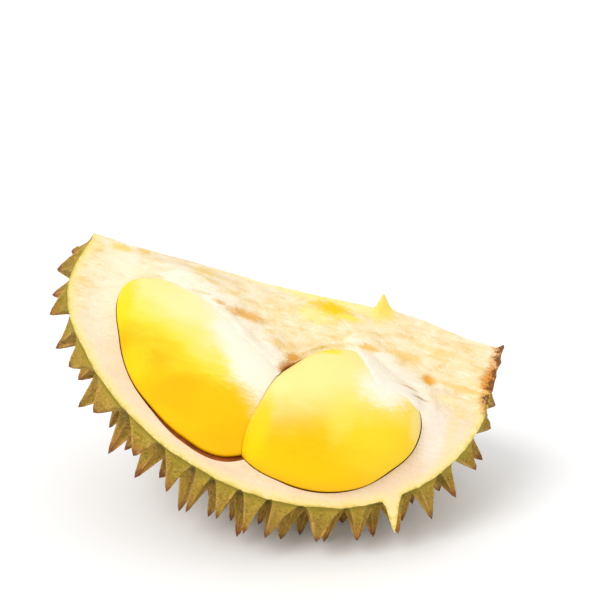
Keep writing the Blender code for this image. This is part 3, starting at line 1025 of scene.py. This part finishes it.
def skin_material(speckle):
    """Olive skin: mottled flats, ridges paler tan as a painted highlight, valleys between the spines
    with painted shade, yellower by the front face, tips worn to grey.
    """
    made, tree, shader = new_material("husk_skin")
    tones = add(tree, "ShaderNodeSeparateColor", {"Color": attribute(tree, "spine", "Color")})
    rise, ridge, tint = tones.outputs
    place = attribute(tree, "place", "Vector")
    behind = add(tree, "ShaderNodeSeparateXYZ", {0: place}).outputs[2]
    broad = clouds(tree, place, 0.050, 3.0, 0.6)
    patch = clouds(tree, place, 0.22, 4.0, 0.62, 0.6)
    fine = clouds(tree, place, 0.75, 5.0, 0.66)
    olive = blend(tree, ease(tree, broad, 0.38, 0.62), linear(142, 118, 26), linear(178, 148, 48))
    olive = lay_over(tree, olive, tint, 0.5, linear(172, 134, 56))
    olive = lay_over(tree, olive, ease(tree, patch, 0.50, 0.66), 0.6, linear(194, 144, 64))
    olive = lay_over(tree, olive, ease(tree, patch, 0.44, 0.32), 0.7, linear(122, 110, 20))
    olive = lay_over(tree, olive, ease(tree, fine, 0.50, 0.66), 0.55, linear(210, 180, 84))
    olive = lay_over(tree, olive, ease(tree, fine, 0.46, 0.34), 0.55, linear(96, 72, 16))
    up = wander(tree, rise, patch, 0.55)
    brown = blend(tree, tint, linear(172, 108, 50), linear(160, 130, 54))
    colour = lay_over(tree, olive, ease(tree, up, 0.35, 0.85), 0.75, brown)
    # Painted highlight: the ridges of the spines are laid paler tan, as if lit.
    ridge_highlight = calc(tree, "MULTIPLY", ease(tree, ridge, 0.55, 1.0), ease(tree, rise, 0.02, 0.25))
    ridge_highlight = calc(tree, "MULTIPLY", ridge_highlight, ease(tree, fine, 0.36, 0.56))
    colour = lay_over(tree, colour, ridge_highlight, 0.8, linear(214, 166, 90))
    # Painted shade: the low valleys between the spines are darkened towards deep olive.
    low = calc(tree, "MULTIPLY", ease(tree, rise, 0.14, 0.0), 0.75)
    colour = blend(tree, low, colour, linear(78, 70, 14))
    rim = wander(tree, behind, patch, 22.0)
    fresh = calc(tree, "MULTIPLY", ease(tree, rim, 13.0, 3.0), ease(tree, rise, 0.5, 0.1))
    colour = lay_over(tree, colour, fresh, 0.50, linear(176, 158, 46))
    colour = lay_over(tree, colour, ease(tree, up, 0.70, 0.95), 0.85, linear(124, 70, 42))
    worn = calc(tree, "MULTIPLY", ease(tree, up, 0.95, 1.08), ease(tree, tint, 0.35, 0.8))
    colour = blend(tree, worn, colour, linear(86, 70, 64))
    dots = use(tree, speckle, "Mask", Place=place, Scale=0.55, Size=0.22)
    colour = lay_over(tree, colour, dots, 0.5, linear(96, 62, 34))
    tree.links.new(colour, shader.inputs["Base Color"])
    rough = calc(tree, "ADD", calc(tree, "MULTIPLY", fine, 0.25), 0.50)
    tree.links.new(rough, shader.inputs["Roughness"])
    set_uniform(shader, {"Specular IOR Level": 0.2})
    emboss(tree, shader, calc(tree, "ADD", calc(tree, "MULTIPLY", patch, 1.6), fine), 0.7)
    return made


def pith_material(stain, speckle):
    """Cream pith: pinkish under the rind, fibrous at the core, white where it clings."""
    made, tree, shader = new_material("pith")
    place = attribute(tree, "place", "Vector")
    rind = attribute(tree, "rind", "Fac")
    cling = attribute(tree, "cling", "Fac")
    x, p, q = add(tree, "ShaderNodeSeparateXYZ", {0: place}).outputs
    soft = clouds(tree, scaled(tree, place, (0.032, 0.045, 0.030)), 1.0, 3.0, 0.5, 0.6)
    drawn_out = scaled(tree, place, (0.060, 0.150, 0.12), (0, 0, 0.10))
    blotch = clouds(tree, drawn_out, 1.0, 5.0, 0.66, 0.5)
    drawn_out = scaled(tree, place, (0.070, 0.46, 0.40), (0, 0, 0.08))
    strand = clouds(tree, drawn_out, 1.0, 5.0, 0.66, 0.5)
    mottle = clouds(tree, scaled(tree, place, (0.12, 0.22, 0.20)), 1.0, 5.0, 0.64, 0.2)
    fine = clouds(tree, place, 0.75, 4.0, 0.65)
    outer = blend(tree, ease(tree, soft, 0.36, 0.62), linear(240, 214, 182), linear(243, 223, 192))
    outer = lay_over(tree, outer, ease(tree, blotch, 0.5, 0.68), 0.5, linear(242, 220, 172))
    outer = lay_over(tree, outer, ease(tree, fine, 0.48, 0.34), 0.3, linear(238, 200, 162))
    pale = ease(tree, blotch, 0.34, 0.56)
    inner = blend(tree, pale, linear(238, 206, 140), linear(246, 228, 186))
    inner = lay_over(tree, inner, ease(tree, soft, 0.54, 0.68), 0.6, linear(245, 222, 194))
    inner = lay_over(tree, inner, ease(tree, soft, 0.46, 0.34), 0.5, linear(246, 223, 148))
    inner = lay_over(tree, inner, ease(tree, mottle, 0.54, 0.68), 0.42, linear(236, 202, 134))
    inner = lay_over(tree, inner, ease(tree, mottle, 0.50, 0.36), 0.60, linear(251, 241, 214))
    inner = lay_over(tree, inner, ease(tree, strand, 0.53, 0.66), 0.48, linear(234, 200, 128))
    inner = lay_over(tree, inner, ease(tree, strand, 0.46, 0.34), 0.28, linear(254, 244, 224))
    colour = blend(tree, ease(tree, wander(tree, p, blotch, 34.0), 52.0, 30.0), outer, inner)
    near = wander(tree, cling, blotch, 1.1)
    near = wander(tree, near, fine, 0.5)
    colour = lay_over(tree, colour, ease(tree, near, 0.35, 1.0), 0.80, CREAM)
    edge = wander(tree, rind, fine, 4.0)
    edge = wander(tree, edge, mottle, 6.0)
    colour = lay_over(tree, colour, ease(tree, edge, 6.5, 2.0), 0.7, linear(246, 226, 154))
    colour = lay_over(tree, colour, ease(tree, edge, 2.4, 0.6), 0.65, linear(238, 212, 106))
    colour = lay_stains(tree, colour, place, stain, PITH_STAINS)
    raised = calc(tree, "ADD", q, calc(tree, "MULTIPLY", blotch, 4.0))
    film = calc(tree, "MULTIPLY", ease(tree, raised, -4.0, -8.0), ease(tree, p, 6.0, 12.0))
    colour = lay_over(tree, colour, film, 0.85, CREAM)
    torn = wander(tree, x, mottle, 14.0)
    torn = wander(tree, torn, fine, 8.0)
    stub = ease(tree, p, 40.0, 33.0)
    burnt = calc(tree, "MULTIPLY", ease(tree, torn, 94.5, 99.5), stub)
    colour = lay_over(tree, colour, burnt, 0.80, linear(222, 154, 70))
    colour = lay_stains(tree, colour, place, stain, (BURNT_STAIN,))
    dark = calc(tree, "MULTIPLY", ease(tree, torn, 98.8, 100.8), stub)
    colour = lay_over(tree, colour, dark, 0.9, linear(104, 60, 28))
    rim_line = calc(tree, "MULTIPLY", ease(tree, edge, 0.9, 0.0), ease(tree, rind, 1.3, 0.5))
    colour = lay_over(tree, colour, rim_line, 0.7, linear(206, 184, 80))
    dots = use(tree, speckle, "Mask", Place=place, Scale=0.35, Size=0.10)
    colour = lay_over(tree, colour, dots, 0.3, linear(214, 170, 110))
    tree.links.new(colour, shader.inputs["Base Color"])
    rough = calc(tree, "ADD", calc(tree, "MULTIPLY", fine, 0.2), 0.58)
    tree.links.new(rough, shader.inputs["Roughness"])
    set_uniform(
        shader,
        {
            "Specular IOR Level": 0.3,
            "Subsurface Weight": 0.12,
            "Subsurface Radius": (1.0, 0.7, 0.4),
            "Subsurface Scale": 0.003,
        },
    )
    grain = calc(tree, "MULTIPLY", fine, 0.45)
    height = calc(tree, "ADD", calc(tree, "MULTIPLY", strand, 0.8), grain)
    height = calc(tree, "ADD", height, calc(tree, "MULTIPLY", mottle, 0.9))
    emboss(tree, shader, height, 0.7)
    return made


def socket_material():
    """Browned lining of the hollows that the pods lie in."""
    made, tree, shader = new_material("pod_socket")
    place = attribute(tree, "place", "Vector")
    brown = clouds(tree, place, 0.12, 3.0)
    colour = blend(tree, ease(tree, brown, 0.3, 0.7), linear(140, 74, 28), linear(184, 110, 44))
    tree.links.new(colour, shader.inputs["Base Color"])
    set_uniform(shader, {"Roughness": 0.7})
    return made


def torn_material():
    """Torn stalk end: dry fibres from pale straw to burnt orange and dark brown."""
    made, tree, shader = new_material("torn_end")
    place = attribute(tree, "place", "Vector")
    coarse = clouds(tree, place, 0.16, 5.0, 0.7)
    fine = clouds(tree, scaled(tree, place, (0.25, 1.0, 1.0)), 0.9, 4.0, 0.7)
    colour = blend(tree, ease(tree, coarse, 0.38, 0.62), linear(142, 88, 42), linear(222, 150, 66))
    colour = blend(tree, ease(tree, fine, 0.5, 0.75), colour, linear(236, 196, 126))
    colour = blend(tree, ease(tree, fine, 0.42, 0.30), colour, linear(84, 52, 32))
    tree.links.new(colour, shader.inputs["Base Color"])
    set_uniform(shader, {"Roughness": 0.85})
    emboss(tree, shader, fine, 0.9)
    return made


def towards(tree, place, pod, way):
    """Distance in mm of a place from the pod's middle, along a way in the split face."""
    middle = (pod["middle"][0] * 1000, pod["middle"][1] * 1000, 0)
    away = vector_calc(tree, "SUBTRACT", place, middle).outputs[0]
    return vector_calc(tree, "DOT_PRODUCT", away, (*way, 0)).outputs["Value"]


def flesh_material(name, pod, steps, stain, patches):
    """Ripe flesh, gold to pale yellow to cream.

    Each step from one tone to the next has a way in the split face, the distances in mm along it
    where it starts and ends, and a tint. The patches are stains.
    """
    made, tree, shader = new_material(name)
    place = attribute(tree, "place", "Vector")
    soft = clouds(tree, scaled(tree, place, (0.022, 0.040, 0.022)), 1.0, 3.0, 0.5, 0.4)
    slanted = scaled(tree, place, (0.045, 0.14, 0.09), (0, 0, 0.5))
    streak = clouds(tree, slanted, 1.0, 4.0, 0.55, 0.6)
    fine = clouds(tree, place, 0.8, 4.0, 0.6)
    shift = calc(tree, "MULTIPLY", calc(tree, "SUBTRACT", soft, 0.5), 14.0)
    shift = wander(tree, shift, streak, 14.0)
    colour = blend(tree, ease(tree, soft, 0.4, 0.6), linear(250, 184, 0), linear(251, 193, 0))
    for way, start, end, tint in steps:
        along = calc(tree, "ADD", towards(tree, place, pod, way), shift)
        colour = blend(tree, ease(tree, along, start, end), colour, tint)
    colour = lay_stains(tree, colour, place, stain, patches)
    tree.links.new(colour, shader.inputs["Base Color"])
    rough = calc(tree, "ADD", calc(tree, "MULTIPLY", fine, 0.2), 0.40)
    tree.links.new(rough, shader.inputs["Roughness"])
    set_uniform(
        shader,
        {
            "Specular IOR Level": 0.12,
            "Subsurface Weight": 0.15,
            "Subsurface Radius": (1.0, 0.6, 0.2),
            "Subsurface Scale": 0.004,
        },
    )
    grain = calc(tree, "MULTIPLY", fine, 0.12)
    emboss(tree, shader, calc(tree, "ADD", calc(tree, "MULTIPLY", streak, 0.8), grain), 0.25)
    return made


# ---------------------------------------------------------------- studio


def make_floor():
    activate_nothing()
    bpy.ops.mesh.primitive_plane_add(size=12, location=(0, 0, 0))
    floor = bpy.context.active_object
    floor.name = "floor"
    made, _, shader = new_material("white_table")
    set_uniform(
        shader,
        {
            "Base Color": (0.98, 0.98, 0.98, 1),
            "Roughness": 0.8,
            "Specular IOR Level": 0.1,
            "Emission Color": (1, 1, 1, 1),
            "Emission Strength": TABLE_GLOW,
        },
    )
    floor.data.materials.append(made)


def soft_sun():
    lamp = bpy.data.lights.new("key", "SUN")
    lamp.angle = math.radians(SUN_WIDTH)
    lamp.energy = SUN_STRENGTH
    holder = bpy.data.objects.new("key", lamp)
    holder.rotation_euler = Vector(SUN_DIRECTION).to_track_quat("-Z", "Y").to_euler()
    bpy.context.collection.objects.link(holder)


def make_light():
    scene = bpy.context.scene
    scene.world = scene.world or bpy.data.worlds.new("studio")
    scene.world.use_nodes = True
    sky = scene.world.node_tree.nodes["Background"]
    sky.inputs["Color"].default_value = (1, 1, 1, 1)
    sky.inputs["Strength"].default_value = SKY_STRENGTH
    soft_sun()
    scene.view_settings.view_transform = "Standard"


def make_camera():
    azimuth, elevation = math.radians(CAMERA_AZIMUTH), math.radians(CAMERA_ELEVATION)
    lens = bpy.data.cameras.new("camera")
    lens.lens = 85
    lens.sensor_width = 36
    camera = bpy.data.objects.new("camera", lens)
    flat = math.cos(elevation)
    forward = Vector((math.sin(azimuth) * flat, math.cos(azimuth) * flat, -math.sin(elevation)))
    right = forward.cross(Vector((0, 0, 1))).normalized()
    up = right.cross(forward)
    camera.location = right * CAMERA_RIGHT + up * CAMERA_UP - forward * CAMERA_DISTANCE
    camera.rotation_euler = forward.to_track_quat("-Z", "Y").to_euler()
    bpy.context.collection.objects.link(camera)
    bpy.context.scene.camera = camera


def main():
    make_camera()
    make_light()
    make_floor()
    stain, speckle = stain_group(), speckle_group()
    skin, pith = skin_material(speckle), pith_material(stain, speckle)
    make_husk([skin, pith, socket_material(), torn_material()])
    make_pods(
        flesh_material("flesh_left", POD_LEFT, LEFT_STEPS, stain, LEFT_PATCHES),
        flesh_material("flesh_right", POD_RIGHT, RIGHT_STEPS, stain, RIGHT_PATCHES),
    )


main()
